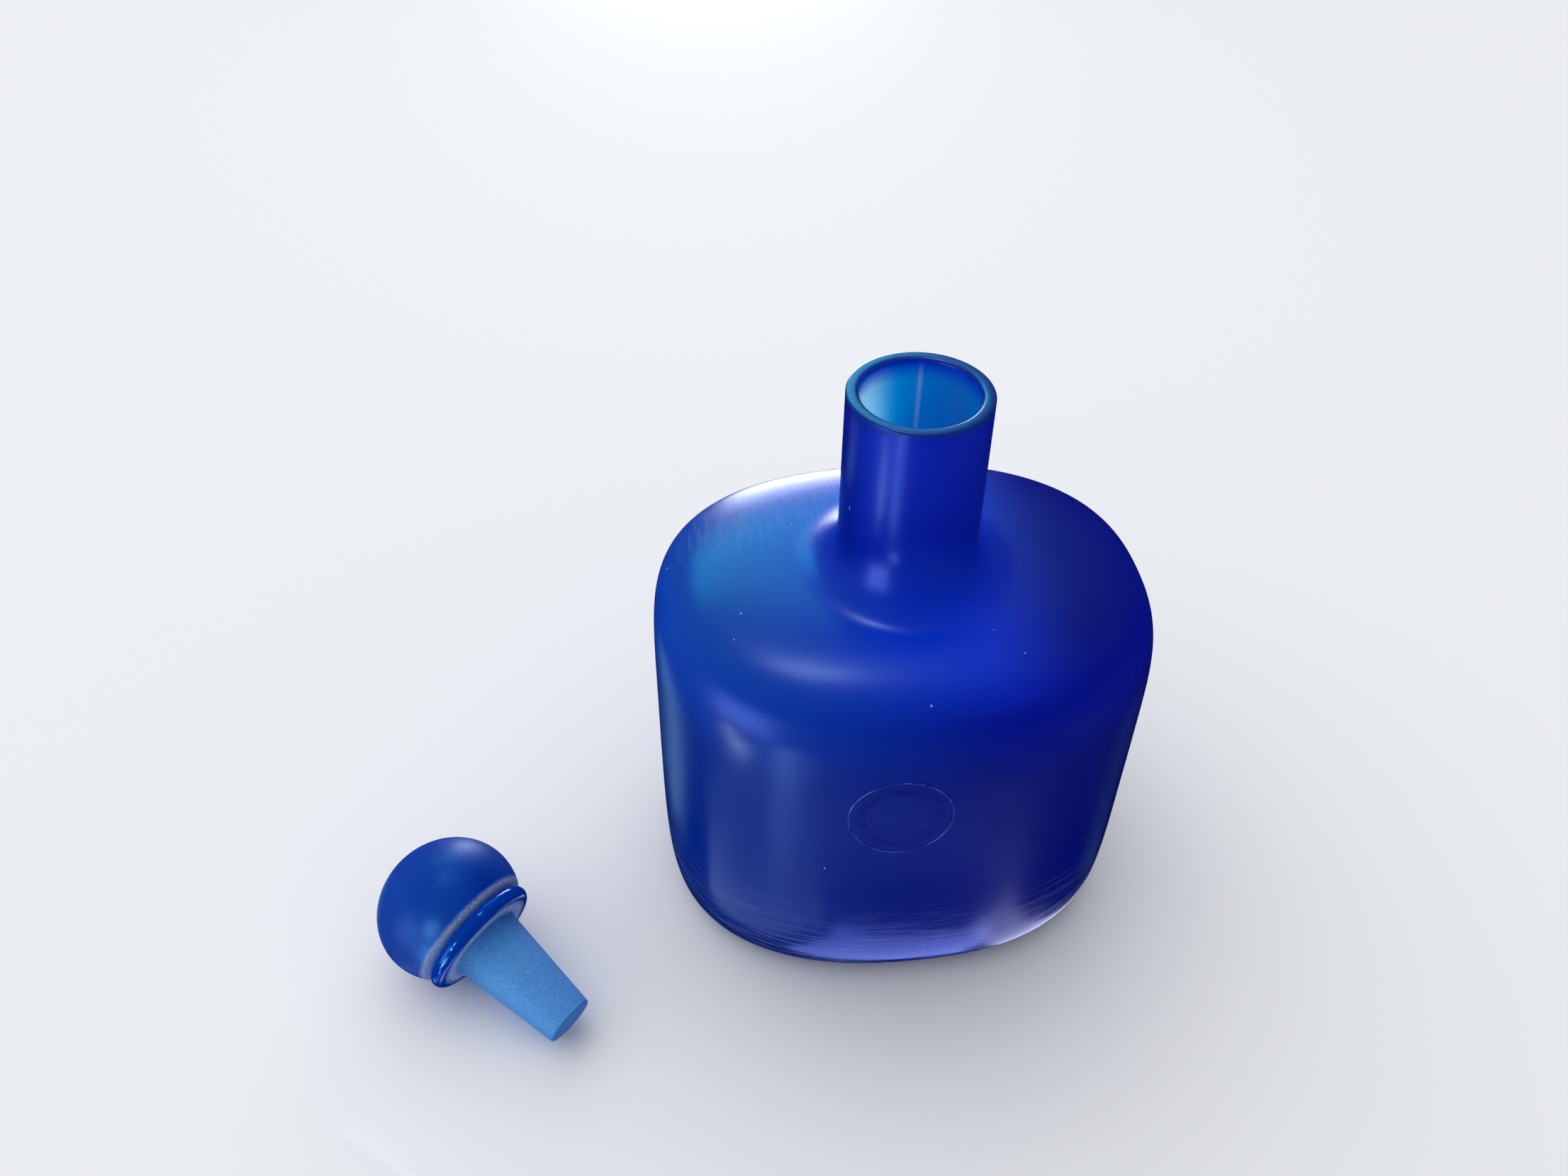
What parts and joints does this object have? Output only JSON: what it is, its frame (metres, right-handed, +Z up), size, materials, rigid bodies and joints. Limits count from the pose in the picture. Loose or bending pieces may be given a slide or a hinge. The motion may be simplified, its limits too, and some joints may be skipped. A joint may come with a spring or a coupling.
{
  "type": "stoppered glass bottle",
  "caption": "Hand-blown satin cobalt-blue glass bottle with a rounded, flattened body and a straight open neck; its loose glass stopper lies beside it.",
  "frame": {"origin": "middle of the bottle's flat foot, on the surface that the bottle and the stopper stand on", "axes": "+Z up along the neck's axis, +X to the right along the wide side of the body, +Y to the back"},
  "size_m": [0.2232, 0.1292, 0.17],
  "materials": {
    "bottle_glass": "satin, acid-etched cobalt-blue glass with fine rubbed lines and a polished lip",
    "stopper_glass": "satin cobalt-blue knob, glossy ring, and a paler ground-glass plug"
  },
  "bodies": {
    "bottle": {"bottle": "bottle_glass"},
    "stopper": {"stopper": "stopper_glass"}
  },
  "joints": [
    {"name": "stopper_carry", "type": "hinge", "parent": "bottle", "child": "stopper", "pos_m": [0.09709, -0.11856, 0.07798], "axis": [0.81, 0.3574, -0.465], "range_deg": [0, 84.76]}
  ]
}
